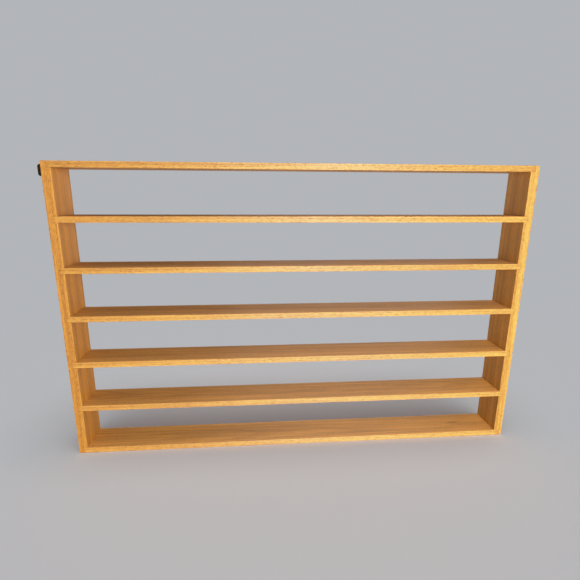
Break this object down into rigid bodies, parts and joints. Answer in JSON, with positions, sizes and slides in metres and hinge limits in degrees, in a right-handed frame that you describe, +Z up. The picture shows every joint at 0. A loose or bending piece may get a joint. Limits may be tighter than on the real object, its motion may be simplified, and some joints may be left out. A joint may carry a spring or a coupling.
{
  "type": "display shelf",
  "caption": "Shallow open-backed oak display shelf with housed shelves between two sides, wall plates at the top corners, for small collectables.",
  "frame": {"origin": "under the middle of the bottom board, on the surface the unit stands on", "axes": "+X to the right seen from the front, +Y towards the wall behind, +Z up"},
  "size_m": [0.708, 0.0515, 0.412],
  "materials": {
    "oak_sides": "oak with open pores under a satin amber lacquer, grain upright",
    "oak_boards": "oak with open pores under a satin amber lacquer, grain lengthwise",
    "pin_steel": "bright drawn steel wire",
    "pin_filler": "hard wood filler, sanded flush",
    "plate_metal": "dark bronzed steel, satin",
    "screw_metal": "dark bronzed steel, worn at the slot"
  },
  "bodies": {
    "root": {"left_side": "oak_sides", "right_side": "oak_sides", "bottom_board": "oak_boards", "shelf_1": "oak_boards", "shelf_2": "oak_boards", "shelf_3": "oak_boards", "shelf_4": "oak_boards", "shelf_5": "oak_boards", "top_board": "oak_boards", "bottom_board_pins": "pin_steel", "shelf_1_pins": "pin_steel", "shelf_2_pins": "pin_steel", "shelf_3_pins": "pin_steel", "shelf_4_pins": "pin_steel", "shelf_5_pins": "pin_steel", "top_board_pins": "pin_steel", "left_pin_fillers": "pin_filler", "right_pin_fillers": "pin_filler", "left_wall_plate": "plate_metal", "right_wall_plate": "plate_metal", "left_plate_screws": "screw_metal", "right_plate_screws": "screw_metal"}
  },
  "joints": []
}
